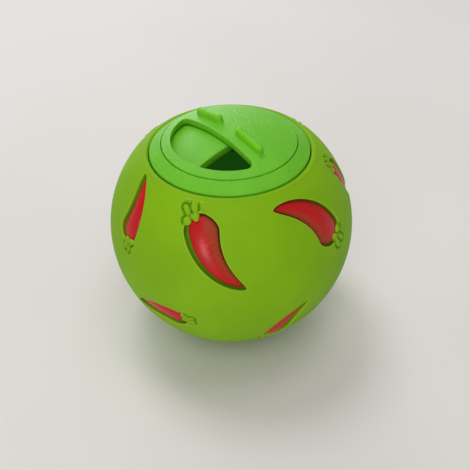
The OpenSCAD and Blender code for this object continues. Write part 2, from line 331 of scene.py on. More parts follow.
# the rubber ball
def stereo(points):
    # the sphere drawn on a plane from its top: shapes keep their angles
    unit = points / np.linalg.norm(points, axis=-1, keepdims=True)
    return unit[..., :2] / (1 - unit[..., 2:])


def sinking(points):
    # how far the skin lies inside the sphere: on the shoulder it follows the flat flank, a plane in section
    up = np.arcsin(points[..., 2] / np.linalg.norm(points, axis=-1))
    flank = ball["shoulderR"] / np.cos(np.where(up > 0.4, up, 0.4) - math.radians(rimAngle))
    soft = 0.03   # rounds the change from the sphere to the flank
    return ball["r"] + soft * np.logaddexp(-ball["r"] / soft, -flank / soft)


def pocketWalls(shell):
    # each pocket: rings that run over its edge, down its wall and round its foot, then its floor;
    # gives back the outermost rings and, for each leafy head, a fine grid of points over it
    edge, foot, deep, steps = pocket["edge"], pocket["foot"], pocket["depth"], pocket["steps"]
    bow = np.radians(np.linspace(0, 90, 6))
    rows = [(-edge - pocket["hem"], 0)]
    rows += [(-edge * (1 - np.sin(a)), edge * (1 - np.cos(a))) for a in bow]
    rows += [(0, edge + (deep - edge - foot) * t) for t in (1 / 3, 2 / 3)]
    rows += [(foot * (1 - np.cos(a)), deep - foot * (1 - np.sin(a))) for a in bow]
    # marks for the painted tones: a pale painted highlight on the rounded edge rows, then painted shade growing with
    # depth down the wall to the floor
    marks = np.array([0.0] + [max(0.1, down / deep) for _, down in rows[1:]])[:, None]
    rims, heads = [], []
    for p in peppers:
        share = p[4]
        rings = []
        for inset, down in rows:
            flat = outline(share, inset, steps)
            lift = leafHeight(flat, share) * max(0, 1 - down / (deep - foot))
            sink = sinking(onBall(p, flat, ball["r"])) * (1 - down / deep)
            rings.append(onBall(p, flat, ball["r"] - down - sink + lift))
        shell.grid(np.array(rings), mark=marks)
        rims.append(rings[0])
        flat = outline(share, rows[-1][0], steps)
        right, left = flat[:steps + 1], np.concatenate([flat[:1], flat[:steps - 1:-1]])
        t = np.linspace(0, 1, 7)[None, :, None]
        shell.grid(onBall(p, right[:, None] * (1 - t) + left[:, None] * t, ball["r"] - deep), around=False, mark=1.0)
        span, gap = leaf["reach"] * share, leaf["spacing"]
        ticks = np.arange(-span, span, gap)
        x, y = np.meshgrid(ticks, ticks)
        x = x + gap / 2 * (np.arange(len(ticks)) % 2)[:, None]
        spots = np.stack([x, y], -1).reshape(-1, 2)
        spots = spots[np.hypot(*spots.T) < span] + np.array(leaf["middle"]) * share
        heads.append(onBall(p, spots, ball["r"]))
    return rims, heads


def evenPoints():
    # points spread evenly over the sphere on a spiral, each turned by the golden angle from the last
    n = int(4 * math.pi * ball["r"] ** 2 / ball["spacing"] ** 2)
    k = np.arange(n) + 0.5
    z, turn = 1 - 2 * k / n, k * math.pi * (3 - math.sqrt(5))
    flat = np.sqrt(1 - z * z)
    return np.stack([flat * np.cos(turn), flat * np.sin(turn), z], -1) * ball["r"]


def offPockets(points, fine):
    # which points are clear of every pocket; fine ones stay on lobes that overhang, and even ones keep off the heads
    keep = np.ones(len(points), bool)
    for p in peppers:
        share = p[4]
        full, length, bend = pocket["r"] * share, pocket["length"] * share, pocket["bend"] * share
        local = points @ place(p)
        front = local[:, 2] > 0
        s = np.arctan2(local[:, 0], bend - local[:, 1]) * bend + length / 2
        w = bend - np.hypot(local[:, 0], bend - local[:, 1])
        reach = pocket["edge"] + pocket["hem"] + (0.15 if fine else 0.5)
        wide = halfWidth(np.clip(s + reach, 0, length + 2 * reach), full + reach, length + 2 * reach)
        over = (np.abs(w) < wide) & (s > -reach) & (s < length + reach) & front
        if fine:
            d, r = lobeDistance(local[:, :2], share)
            over &= ~(d < r - pocket["edge"] - 0.3).any(-1)
        else:
            near = np.linalg.norm(local[:, :2] - np.array(leaf["middle"]) * share, axis=-1)
            over |= (near < leaf["reach"] * share + 0.5) & front
        keep &= ~over
    return keep


def addSkin(shell, mouthRim, baseRim, rims, heads):
    # the skin between the rims, joined by triangles on a plane; the leafy heads lift it, and the flank sinks it
    low, high = baseRim[0, 2] + 0.6, mouthRim[0, 2] - 0.7
    kept = []
    for points, fine in [*((head, True) for head in heads), (evenPoints(), False)]:
        kept.append(points[(points[:, 2] > low) & (points[:, 2] < high) & offPockets(points, fine)])
    loose = np.concatenate(kept)
    loops = [mouthRim, baseRim, *rims]
    flatLoops = [stereo(loop) for loop in loops]
    inPocket = np.any([inside(stereo(loose), loop) for loop in flatLoops[2:]], axis=0)
    loose = loose[~inPocket]
    points, triangles = fill(flatLoops, stereo(loose))
    solid = np.concatenate([*loops, loose])
    # triangles with all three corners on one rim, inside it, are dropped
    owner = np.concatenate([np.full(len(loop), k) for k, loop in enumerate(loops)] + [np.full(len(loose), -1)])
    own = owner[triangles]
    middles = points[triangles].mean(1)
    gone = (own == 1).all(1)
    for k in range(2, len(loops)):
        same = np.nonzero((own == k).all(1))[0]
        gone[same[inside(middles[same], flatLoops[k])]] = True
    free = owner < 0   # the rims have their lift already
    lift = np.zeros(len(solid))
    for p in peppers:
        local = solid @ place(p)
        near = np.linalg.norm(local[:, :2] - np.array(leaf["middle"]) * p[4], axis=-1)
        close = (near < leaf["reach"] * p[4] + 3) & (local[:, 2] > 0) & free
        lift[close] += leafHeight(local[close, :2], p[4])
    # the grooves round the lobes get marks for painted shade
    groove = np.where(free & (lift < -0.06), 0.3 + np.clip(-lift, 0, 0.6), 0)
    lift[free] -= sinking(solid[free])
    shell.add(solid * (1 + lift / ball["r"])[:, None], triangles[~gone], groove)


def makeShell():
    # hollow rubber ball: pockets, outer skin, then everything that is round about its axis
    shell = Patches()
    slope, around = math.radians(rimAngle), ball["around"]
    lipX = ball["mouthR"] + ball["lipR"]
    lipZ = (ball["shoulderR"] - ball["lipR"] - lipX * math.cos(slope)) / math.sin(slope)
    # distances along the flank from its foot: where the lip's arc leaves it, and a little farther down
    leave = (lipX - ball["shoulderR"] * math.cos(slope)) / math.sin(slope) + ball["lipR"] / math.tan(slope)
    flankAt = np.linspace(leave + ball["flank"], leave, 10)[:-1]
    crest = ball["ridge"] * np.exp(-((flankAt - leave - 0.17) / 0.12) ** 2)
    flankLine = np.stack([(ball["shoulderR"] + crest) * math.cos(slope) + flankAt * math.sin(slope),
                          (ball["shoulderR"] + crest) * math.sin(slope) - flankAt * math.cos(slope)], -1)
    footR = ball["baseR"] + ball["footRim"]
    baseRim = circle(footR, -math.sqrt(ball["r"] ** 2 - footR ** 2), around // 2)
    rims, heads = pocketWalls(shell)
    addSkin(shell, circle(*flankLine[0], around), baseRim, rims, heads)
    # lip, mouth, groove of the ring, neck and inside, carried round from the lip to the inner pole
    a = np.linspace(slope, math.pi, 13)
    lip = np.stack([lipX + ball["lipR"] * np.cos(a), lipZ + ball["lipR"] * np.sin(a)], -1)
    inner = ball["r"] - ball["wall"]
    neckTop = math.sqrt(inner ** 2 - ball["neckR"] ** 2)
    down = np.linspace(math.atan2(neckTop, ball["neckR"]), -math.pi / 2, 60)[1:]
    profile = np.concatenate([
        flankLine, lip,
        rounded([(ball["mouthR"], lipZ - 0.3, 0), (ball["mouthR"], ringTopZ, 0.15), (ringOutR, ringTopZ, 0.15),
                 (ringOutR, beadZ + ring["beadH"], 0.1), (beadR, beadZ + ring["beadH"], 0.3), (beadR, beadZ, 0.3),
                 (ringOutR, beadZ, 0.1), (ringOutR, ringLowZ, 0.4), (ball["neckR"], ringLowZ, 0.6),
                 (ball["neckR"], neckTop, 0)]),
        np.stack([inner * np.cos(down), inner * np.sin(down)], -1),
    ])
    profile[-1, 0] = 0
    # the inside is marked -1 for the painted glow
    shell.grid(revolve(profile, around), mark=np.where(profile[:, 1] < ringTopZ - 0.1, -1.0, 0.0)[:, None])
    base = rounded([(baseRim[0, 0], baseRim[0, 2], 0), (ball["baseR"] + 0.1, -centreZ, 0.5),
                    (ball["baseR"] - 1.5, -centreZ, 0), (4, -centreZ, 0), (0, -centreZ, 0)])
    shell.grid(revolve(base, around // 2))
    return shell.make("ballShell", "ball", ["ball_shell"], "rubber_lime")


shellPiece = makeShell()


# the peppers laid in its pockets
pepper = dict(
    margin=0.7, inner=0.4,   # green round the pepper, and as little of it on the inner side of the bend
    outer={1: 0.9, 2: 1.3, 3: 0.35},   # the same on the outer side of those that were laid in less truly
    drop=0.2, glue=0.12, side=0.3, least=0.05,   # crown below the skin, glue under it, rise at its edge
    rows=150, columns=56,
    foldStep=1.3, foldDepth=0.09, bandDepth=0.1, pitDepth=0.26,   # folds across the inner band, which lies lower
    # pits at the head: distance from it and spread, place across it and spread, share of the depth
    pits=[(1.5, 0.55, -0.35, 0.24, 1), (1.1, 0.4, 0.12, 0.12, 0.8), (1.3, 0.5, 0.5, 0.1, 0.6)],
)


def makePepper(index, p):
    # a crown over a bent, tapering outline; its inner side is a lower band with fine folds across
    share = p[4]
    margin = pepper["margin"]
    r, bend, middle = pocket["r"] * share - margin, pocket["bend"] * share, pocket["length"] * share / 2
    length = pocket["length"] * share - margin * (1 + pocket["tipShare"])
    seat = ball["r"] - pocket["depth"] + pepper["glue"]
    crown = pocket["depth"] - pepper["glue"] - pepper["drop"]
    u = np.arange(pepper["rows"] + 1) / pepper["rows"]
    s = (length * (1 - np.cos(np.pi * u)) / 2)[1:-1, None]
    t = np.sin(np.pi / 2 * np.linspace(-1, 1, pepper["columns"] + 1))[None]
    w = halfWidth(s, r, length)
    rise = crown * np.sqrt(w / r) * (pepper["side"] + (1 - pepper["side"]) * np.sqrt(1 - t * t))
    # folds at uneven steps along the inner band, each a narrow valley with a soft crest beside it
    wave = s / (pepper["foldStep"] * share) + 0.3 * np.sin(s * 1.7 / share + index) + 0.3 * t
    phase = wave - np.round(wave)
    fold = np.exp(-(phase / 0.16) ** 2) - 0.45 * np.exp(-((phase - 0.3) / 0.15) ** 2)
    # they fade out at both edges of the band and at both ends
    where = np.clip((t - 0.12) / 0.25, 0, 1) * np.clip((0.96 - t) / 0.12, 0, 1)
    where = where * np.clip((s - 1.0) / 1.5, 0, 1) * np.clip((0.68 * length - s) / 4, 0, 1)
    dent = sum(part * np.exp(-((s - at) / spread) ** 2 - ((t - across) / width) ** 2)
               for at, spread, across, width, part in pepper["pits"])
    band = np.clip((t - 0.3) / 0.25, 0, 1) * np.clip(1.2 - s / length, 0, 1)
    rise = rise - pepper["foldDepth"] * share * fold * where - pepper["pitDepth"] * dent * share
    rise = np.maximum(rise - pepper["bandDepth"] * band, pepper["least"])
    outer = pepper["outer"].get(index, margin)
    grow = 1 + (margin - pepper["inner"]) / r * np.clip(t, 0, 1) ** 2 + (margin - outer) / r * np.clip(-t, 0, 1) ** 2
    flat = bendPoint(s + margin, t * w * grow, middle, bend)
    drop = sinking(onBall(p, flat, ball["r"])) * rise / crown
    top = onBall(p, flat, seat + rise - drop)
    body = Patches()
    # the side mark carries the painted shade at both edges and the painted reflection on the inner band
    sideMark = np.broadcast_to((t + 1) / 2 + 0 * s, rise.shape)
    body.grid(top, around=False, mark=sideMark)
    seats = np.full(flat.shape[:2], seat)
    under = onBall(p, flat[:, ::7], seats[:, ::7])
    low = onBall(p, flat[:, [0, -1]], seats[:, [0, -1]])
    body.grid(np.stack([top[:, 0], low[:, 0]], 1), around=False, mark=0.0)
    body.grid(np.stack([low[:, 1], top[:, -1]], 1), around=False, mark=1.0)
    body.grid(under, around=False, mark=1.0)
    for row, at in ((0, 0.0), (-1, length)):
        end = onBall(p, bendPoint(np.array([at + margin]), np.array([0.0]), middle, bend), np.array([seat]))
        rim = np.concatenate([top[row], under[row][::-1]])
        fan = np.concatenate([end, rim])
        k = np.arange(1, len(rim) + 1)
        body.add(fan, np.stack([np.zeros_like(k), k, np.roll(k, -1)], -1), mark=0.0)
    return body.make("pepper%d" % index, "ball", ["pepper_inlay_%d" % index], "pepper_red", sharp=75)


pepperPieces = [makePepper(k + 1, p) for k, p in enumerate(peppers)]


# the lid and its turning dial: half-moons cut through domes
def moonOutline(out, angle, steps=90):
    # half-moon moved outwards by out: an arc, two rounded corners and the straight edge, turned to its direction
    made = []

    def corner(r, side):
        x = dial["chord"] + r
        return np.array([x, side * math.sqrt((dial["moonR"] - r) ** 2 - x * x)])

    def arc(c, r, a0, a1, n):
        a = np.linspace(a0, a1, n + 1)
        return np.stack([c[0] + r * np.cos(a), c[1] + r * np.sin(a)], -1)

    a, b = corner(dial["cornerA"], 1), corner(dial["cornerB"], -1)
    low, top = math.atan2(b[1], b[0]), math.atan2(a[1], a[0])
    made.append(arc(b, dial["cornerB"] + out, -math.pi, low, 12))
    made.append(arc((0, 0), dial["moonR"] + out, low, top, steps)[1:-1])
    made.append(arc(a, dial["cornerA"] + out, top, math.pi, 14))
    t = np.linspace(0, 1, 46)[1:-1, None]
    made.append(made[2][-1] * (1 - t) + made[0][0] * t)
    flat = np.concatenate(made)
    turn = math.radians(angle)
    return flat @ np.array([[math.cos(turn), math.sin(turn)], [-math.sin(turn), math.cos(turn)]])


def domed(flat, r):
    # plane points lifted to the dome of radius r
    return np.concatenate([flat, (domeZ + np.sqrt(r * r - (flat ** 2).sum(-1)))[..., None]], -1)


def domePatch(patches, outer, holes, r, spacing=0.95, mark=0.0):
    # the dome between an outer circle and the edges of its holes
    reach = np.linalg.norm(outer[0])
    ticks = np.arange(-1.2 * reach, 1.2 * reach, spacing)
    x, y = np.meshgrid(ticks, ticks * 0.866)   # rows of a triangular pattern
    x = x + spacing / 2 * (np.arange(len(ticks)) % 2)[:, None]
    spots = np.stack([x, y], -1).reshape(-1, 2)
    spots = spots[np.hypot(*spots.T) < reach - 0.5 * spacing]
    for hole in holes:
        gap = np.linalg.norm(spots[:, None] - hole[None], axis=-1).min(1)
        spots = spots[~inside(spots, hole) & (gap > 0.45 * spacing)]
    points, triangles = fill([outer, *holes], spots)
    middles = points[triangles].mean(1)
    gone = np.zeros(len(triangles), bool)
    for hole in holes:
        gone |= inside(middles, hole)
    patches.add(domed(points, r), triangles[~gone], mark)


def holeWall(patches, outlineAt, topR, lowR, edge, lowEdge):
    # wall of a hole through the dome, rounded at its top and bottom edges
    bow = np.radians(np.linspace(0, 90, 5))
    rows = [domed(outlineAt(edge * (1 - np.sin(a))), topR - edge * (1 - np.cos(a))) for a in bow]
    rows += [domed(outlineAt(lowEdge * (1 - np.cos(a))), lowR + lowEdge * (1 - np.sin(a))) for a in bow]
    patches.grid(np.array(rows))


thread = dict(pitch=3.2, depth=0.55, fade=1.2, rows=72)


def threaded(r, start, end, share, n):
    # a wall of radius r between two heights, less a rounded thread: it rises and falls once in each pitch, turns once
    # round in each pitch, and fades out towards both ends
    z = np.linspace(start, end, thread["rows"])[:, None]
    angle = (2 * np.pi * np.arange(n) / n)[None]
    low, high = min(start, end), max(start, end)
    fade = np.clip((high - z) / thread["fade"], 0, 1) * np.clip((z - low) / thread["fade"], 0, 1)
    phase = z / thread["pitch"] - angle / (2 * np.pi)
    radius = r - thread["depth"] * (0.5 + 0.5 * np.cos(2 * np.pi * phase)) ** 1.5 * share * fade
    return np.stack([radius * np.cos(angle), radius * np.sin(angle), np.broadcast_to(z, radius.shape)], -1)


def makeLidBase():
    # collar, plate with its port and pivot hole, and threaded skirt
    made = Patches()
    n, edge = lid["around"], lid["edge"]
    recessR = dial["r"] + dial["edgeGap"]
    innerR = lid["skirtR"] - lid["skirtT"]
    plateEdgeZ = domeZ + math.sqrt(plateTopR ** 2 - recessR ** 2)
    underZ = domeZ + math.sqrt(plateLowR ** 2 - innerR ** 2)
    holeR = pivot["bossR"] + pivot["fit"]
    topZ = math.sqrt(lid["curveR"] ** 2 - recessR ** 2)
    a = np.linspace(math.atan2(lidEdgeZ, lid["r"]), math.atan2(topZ, recessR), 15)[1:-1]
    crown = np.stack([lid["curveR"] * np.cos(a), lid["curveR"] * np.sin(a)], -1)
    # from the plate's edge up the recess, over the collar and down to the skirt
    upper = np.concatenate([
        [[recessR, plateEdgeZ]],
        rounded([(recessR, plateEdgeZ + 0.1, 0), (recessR, topZ, 0.18), tuple(crown[-1]) + (0,)]),
        crown[::-1][1:-1],
        rounded([tuple(crown[0]) + (0,), (lid["r"], lidEdgeZ, edge), (lid["r"], seatZ, 0.3),
                 (lid["skirtR"], seatZ, 0.2), (lid["skirtR"], seatZ - 0.6, 0)]),
    ])
    made.grid(revolve(upper, n))
    made.grid(threaded(lid["skirtR"], seatZ - 0.6, skirtLowZ + 0.7, 1.0, n))
    lower = rounded([(lid["skirtR"], skirtLowZ + 0.7, 0), (lid["skirtR"], skirtLowZ, 0.45),
                     (innerR, skirtLowZ, 0.45), (innerR, underZ, 0.25),
                     (innerR - 0.5, domeZ + math.sqrt(plateLowR ** 2 - (innerR - 0.5) ** 2), 0)])
    # hidden faces are marked -1 for the painted glow
    made.grid(revolve(lower, n), mark=-1.0)
    underEdge = circle(innerR - 0.5, 0, n)[:, :2]
    moonAt = lambda out: moonOutline(out, lid["portAngle"])
    # plate above and below, its port and the hole of the pivot with the pad round it
    small = 72
    domePatch(made, circle(recessR, 0, n)[:, :2], [moonAt(edge), circle(holeR + 0.15, 0, small)[:, :2]], plateTopR)
    lowEdge, padFoot = 0.08, pivot["padR"] + 0.05
    padTop = domeZ + math.sqrt(plateLowR ** 2 - padFoot ** 2)
    # the underside is marked -1 for the painted glow
    domePatch(made, underEdge, [moonAt(lowEdge), circle(padFoot, 0, small)[:, :2]], plateLowR, mark=-1.0)
    holeWall(made, moonAt, plateTopR, plateLowR, edge, lowEdge)
    topHole = domeZ + math.sqrt(plateTopR ** 2 - (holeR + 0.15) ** 2)
    hole = rounded([(holeR + 0.15, topHole, 0), (holeR, topHole - 0.15, 0.05), (holeR, padZ, 0.12),
                    (pivot["padR"], padZ, 0.15), (pivot["padR"], padTop, 0), (padFoot, padTop, 0)])
    made.grid(revolve(hole, small))
    return made.make("lidBase", "lid", ["lid_base"], "plastic_green")


rib = dict(length=11.4, w=2.4, h=2.3, gap=6.8)


def makeDial():
    # domed disc with its half-moon, the boss that it turns on, and two grip ribs
    made = Patches()
    n, edge = dial["around"], dial["edge"]
    moonAt = lambda out: moonOutline(out, dial["angle"])
    rimTop, rimLow = dial["r"] - edge, dial["r"] - 0.3
    lowR = domeR - dial["t"]
    topEdge = domeZ + math.sqrt(domeR ** 2 - rimTop ** 2)
    lowEdge = domeZ + math.sqrt(lowR ** 2 - rimLow ** 2)
    made.grid(revolve(rounded([(rimTop, topEdge, 0), (dial["r"], dialEdgeZ, edge * 0.8),
                               (dial["r"], lowEdge - 0.05, 0.2), (rimLow, lowEdge, 0)], 6), n))
    domePatch(made, circle(rimTop, 0, n)[:, :2], [moonAt(edge)], domeR)
    small = 72
    bossTop = domeZ + math.sqrt(lowR ** 2 - (pivot["bossR"] + 0.3) ** 2)
    domePatch(made, circle(rimLow, 0, n)[:, :2], [moonAt(edge), circle(pivot["bossR"] + 0.3, 0, small)[:, :2]], lowR)
    holeWall(made, moonAt, domeR, lowR, edge, edge)
    bore = pivot["screwR"] + 0.02
    made.grid(revolve(rounded([(pivot["bossR"] + 0.3, bossTop, 0), (pivot["bossR"], bossTop, 0.25),
                               (pivot["bossR"], bossLowZ, 0.2), (bore, bossLowZ, 0.1), (bore, screwTopZ + 0.1, 0),
                               (0, screwTopZ + 0.1, 0)]), small))
    # grip ribs: a round-topped profile carried round a stadium, with a soft fillet where it meets the dome
    half, straight = rib["w"] / 2, rib["length"] - rib["w"]
    top = rib["h"] - half
    a = np.linspace(0, np.pi, 25)
    cap = np.stack([np.cos(a), np.sin(a)], -1)
    along = np.linspace(1, -1, 15)[1:-1, None]
    flank = np.concatenate([-np.ones_like(along), 0 * along], -1)
    way = np.concatenate([cap, flank, -cap, -flank])
    ends = np.concatenate([0 * a + 1, along[:, 0], 0 * a - 1, -along[:, 0]])[:, None] * (0, straight / 2)
    bow = np.radians(np.linspace(0, 90, 13))
    rows = [(0.0, -0.9), (half - 0.2, -0.9)]
    rows += [(half + 0.5 * (1 - np.sin(x)), 0.5 * (1 - np.cos(x)) - 0.03) for x in bow[::3]]
    rows += [(half * np.cos(x), top + (half - 0.015) * np.sin(x)) for x in bow]
    for side in (-1, 1):
        far = side * (rib["gap"] + rib["length"]) / 2
        turn = turned("Z", dial["angle"]) @ turned("X", -math.degrees(math.asin(far / domeR)))
        grid = []
        for out, up in rows:
            flat = way * out + ends
            sag = domeR - np.sqrt(domeR ** 2 - (flat ** 2).sum(-1))
            grid.append(np.concatenate([flat, (domeR + up - sag * np.clip(1.3 - up, 0, 1))[:, None]], -1))
        # the mark rises up each rib for its painted highlight
        rise = np.clip(np.array([up for _, up in rows]) / 0.6, 0, 1)[:, None]
        made.grid(np.array(grid) @ turn.T + (0, 0, domeZ), mark=rise)
    return made.make("dialDisc", "dial", ["dial"], "plastic_green")


def makeNeckRing():
    # threaded ring with the bead that holds it in the rubber
    made = Patches()
    n = lid["around"]
    outer = rounded([(ringInR, ringTopZ - 0.5, 0), (ringInR, ringTopZ, 0.3), (ringOutR, ringTopZ, 0.25),
                     (ringOutR, beadZ + ring["beadH"], 0.1), (beadR, beadZ + ring["beadH"], 0.4),
                     (beadR, beadZ, 0.4), (ringOutR, beadZ, 0.1), (ringOutR, ringLowZ, 0.3),
                     (ringInR, ringLowZ, 0.3), (ringInR, ringLowZ + 0.5, 0)])
    outer[:, 0] -= np.where(outer[:, 0] > ringInR + 1, 0.02, 0)
    made.grid(revolve(outer, n))
    # the thread is marked -1 for the painted glow
    made.grid(threaded(ringInR, ringLowZ + 0.5, ringTopZ - 0.5, 0.75, n), mark=-1.0)
    return made.make("neckRing", "ball", ["neck_ring"], "plastic_green")


def makePivot():
    # washer and screw under the plate
    washer, screw = Patches(), Patches()
    top, low = bossLowZ, washerLowZ
    inner = pivot["screwR"] + pivot["fit"]
    path = rounded([(inner, (top + low) / 2, 0), (inner, top, 0.1), (pivot["washerR"], top, 0.18),
                    (pivot["washerR"], low, 0.18), (inner, low, 0.1), (inner, (top + low) / 2, 0)])
    washer.grid(revolve(path, 72))
    # pan head with a cross recess: depths over a square grid drawn onto a disc
    ticks = np.linspace(-1, 1, 65)
    x, y = np.meshgrid(ticks, ticks)
    x, y = x * np.sqrt(1 - y * y / 2), y * np.sqrt(1 - x * x / 2)
    far = np.hypot(x, y)
    head = pivot["headR"]
    shape = pivot["headH"] * (0.45 + 0.55 * np.sqrt(np.clip(1 - (far / 1.02) ** 4, 0, 1)))
    arm = np.clip((0.17 - np.minimum(np.abs(x), np.abs(y))) / 0.06, 0, 1)
    arm = arm * np.clip((0.62 - np.maximum(np.abs(x), np.abs(y))) / 0.08, 0, 1)
    down = low - shape + 0.85 * arm
    screw.grid(np.stack([x * head, y * head, down], -1), around=False)
    rim = np.concatenate([[(k, 0) for k in range(64)], [(64, k) for k in range(64)],
                          [(k, 64) for k in range(64, 0, -1)], [(0, k) for k in range(64, 0, -1)]]).astype(int)
    edgeRow = np.stack([x * head, y * head, down], -1)[rim[:, 1], rim[:, 0]]
    unit = edgeRow[:, :2] / np.linalg.norm(edgeRow[:, :2], axis=1, keepdims=True)
    rows = [edgeRow]
    for r, z in ((head, low - 0.05), (head - 0.05, low), (pivot["screwR"], low), (pivot["screwR"], screwTopZ - 0.3),
                 (pivot["screwR"] - 0.3, screwTopZ), (0, screwTopZ)):
        rows.append(np.concatenate([unit * r, np.full((len(unit), 1), z)], -1))
    screw.grid(np.array(rows))
    return (washer.make("pivotWasher", "dial", ["pivot_washer"], "steel"),
            screw.make("pivotScrew", "dial", ["pivot_screw"], "steel"))


lidPiece = makeLidBase()
dialPiece = makeDial()
ringPiece = makeNeckRing()
washerPiece, screwPiece = makePivot()


# finishes
def node(tree, kind, settings=None, inputs=None, out=0):
    # a new node: its settings first, then the values or links of its sockets
    made = tree.nodes.new(kind)
    for name, value in (settings or {}).items():
        setattr(made, name, value)
    for name, value in (inputs or {}).items():
        if isinstance(value, Wire):
            tree.links.new(value.socket, made.inputs[name])
        else:
            made.inputs[name].default_value = value
    return Wire(made.outputs[out])


class Wire:
    # a socket that can stand in a sum: each operator adds a Math node
    def __init__(self, socket):
        self.socket = socket

    def math(self, operation, a, b):
        return node(self.socket.id_data, "ShaderNodeMath", dict(operation=operation), {0: a, 1: b})

    def __add__(self, other):
        return self.math("ADD", self, other)

    def __radd__(self, other):
        return self.math("ADD", other, self)

    def __sub__(self, other):
        return self.math("SUBTRACT", self, other)

    def __rsub__(self, other):
        return self.math("SUBTRACT", other, self)

    def __mul__(self, other):
        return self.math("MULTIPLY", self, other)

    def __rmul__(self, other):
        return self.math("MULTIPLY", other, self)


def tone(colour):
    # a colour as it looks on a screen in the scene's linear values
    c = np.array(colour) / 255
    return (*np.where(c <= 0.04045, c / 12.92, ((c + 0.055) / 1.055) ** 2.4), 1)


class Finish:
    # a material with one surface shader; its parts are asked for by name
    def __init__(self, name):
        self.material = bpy.data.materials.new(name)
        self.material.use_nodes = True
        self.tree = self.material.node_tree
        self.shader = self.tree.nodes["Principled BSDF"]
        self.where = self.node("ShaderNodeTexCoord", out="Object")

    def node(self, kind, settings=None, inputs=None, out=0):
        return node(self.tree, kind, settings, inputs, out)

    def noise(self, scale, detail=2.0, rough=0.5):
        return self.node("ShaderNodeTexNoise", None,
                         {"Vector": self.where, "Scale": scale, "Detail": detail, "Roughness": rough})

    def mix(self, factor, a, b):
        return self.node("ShaderNodeMix", dict(data_type="RGBA"), {0: factor, 6: a, 7: b}, 2)

    def mark(self):
        return self.node("ShaderNodeAttribute", dict(attribute_name="mark"), out="Fac")

    def band(self, value, low, high):
        return self.node("ShaderNodeMapRange", dict(interpolation_type="SMOOTHSTEP"),
                         {"Value": value, "From Min": low, "From Max": high})

    def bump(self, height, distance, strength):
        return self.node("ShaderNodeBump", None, {"Height": height, "Distance": distance, "Strength": strength})

    def finish(self, **sockets):
        for name, value in sockets.items():
            socket = self.shader.inputs[name.replace("_", " ")]
            if isinstance(value, Wire):
                self.tree.links.new(value.socket, socket)
            else:
                socket.default_value = value
        return self.material


# colours as they look on a screen, 0 to 255
# rubber: rim is a pale painted highlight on the pockets' rounded edges, deep is painted shade in the pockets and leaf
# grooves, and inside is a painted dim green glow inside the ball
rubberLook = dict(main=(127, 179, 12), mottled=(122, 173, 10), rim=(176, 202, 66), deep=(80, 144, 10),
                  inside=(10, 44, 9))
# red: the folded band's tone is a painted reflection of the green pocket wall, and the two edge tones are painted
# shade
redLook = dict(main=(194, 14, 17), mottled=(181, 12, 15), bandReflection=(152, 64, 26), innerEdgeShade=(104, 30, 12),
               outerEdgeShade=(130, 30, 20))
# plastic: the ribs' tone is a painted highlight towards their tops, and inside is a painted dim green glow on the
# hidden faces
plasticLook = dict(main=(106, 192, 34), mottled=(102, 187, 31), ribs=(106, 194, 8), inside=(10, 44, 9))
steelLook = dict(main=(190, 192, 196))
paperLook = dict(main=(224, 221, 219), mottled=(221, 218, 216))
black = (0, 0, 0, 1)


def softRubber():
    # soft matt rubber: fine moulded grain, faint mottling, a pale painted highlight along the pockets' rounded edges,
    # painted shade down in the pockets and the leaf grooves, and a painted dim green glow inside;
    # the mark is 0 on the bare skin, rises to 1 at a pocket's floor, and is -1 inside the ball
    f = Finish("softRubber")
    deep = f.mark()
    mottle = f.noise(55, 3)
    base = f.mix(f.band(mottle, 0.35, 0.65), tone(rubberLook["main"]), tone(rubberLook["mottled"]))
    # painted highlight: a pale line where the skin rounds over into each pocket
    base = f.mix(f.band(deep, 0.02, 0.1) * f.band(0.22 - deep, 0.0, 0.1) * 0.4, base, tone(rubberLook["rim"]))
    # painted shade: darker down the pocket walls, on the pocket floors and in the leaf grooves
    base = f.mix(f.band(deep, 0.2, 0.9) * 0.8, base, tone(rubberLook["deep"]))
    grain = f.noise(2600, 3, 0.6)
    broad = f.noise(320, 2)
    normal = f.bump(grain * 0.7 + broad * 0.3, 0.00004, 0.35)
    rough = 0.56 + grain * 0.08 + broad * 0.04
    # painted glow: dim green light inside the ball, where no lamp shines
    paintedGlow = f.mix(f.band(0 - deep, 0.3, 0.9), black, tone(rubberLook["inside"]))
    return f.finish(Base_Color=base, Roughness=rough, Normal=normal, Specular_IOR_Level=0.14, Emission_Color=paintedGlow,
                    Emission_Strength=1.0)


def glossyRed():
    # glossy soft vinyl: deep red with painted shade at both edges, and a red-brown painted reflection of the green
    # pocket wall along the folded band on the inner side;
    # the mark runs from 0 at the outer edge to 1 at the inner one
    f = Finish("glossyRed")
    side = f.mark()
    cloud = f.noise(160, 3)
    folded = f.band(side + cloud * 0.2, 0.68, 0.92)
    base = f.mix(f.band(cloud, 0.3, 0.7), tone(redLook["main"]), tone(redLook["mottled"]))
    # painted reflection: the green pocket wall seen in the inner band turns its red to brown
    base = f.mix(folded * 0.75, base, tone(redLook["bandReflection"]))
    # painted shade along both edges of the pepper, where it turns down beside the pocket wall
    base = f.mix(f.band(side, 0.93, 0.99) * 0.85, base, tone(redLook["innerEdgeShade"]))
    base = f.mix(f.band(1 - side, 0.93, 1.0) * 0.6, base, tone(redLook["outerEdgeShade"]))
    grain = f.noise(1500, 2)
    normal = f.bump(grain, 0.00003, 0.25)
    return f.finish(Base_Color=base, Roughness=0.3 + cloud * 0.1 + folded * 0.22, Normal=normal,
                    Specular_IOR_Level=0.24, Coat_Weight=0.11 - folded * 0.09, Coat_Roughness=0.2)


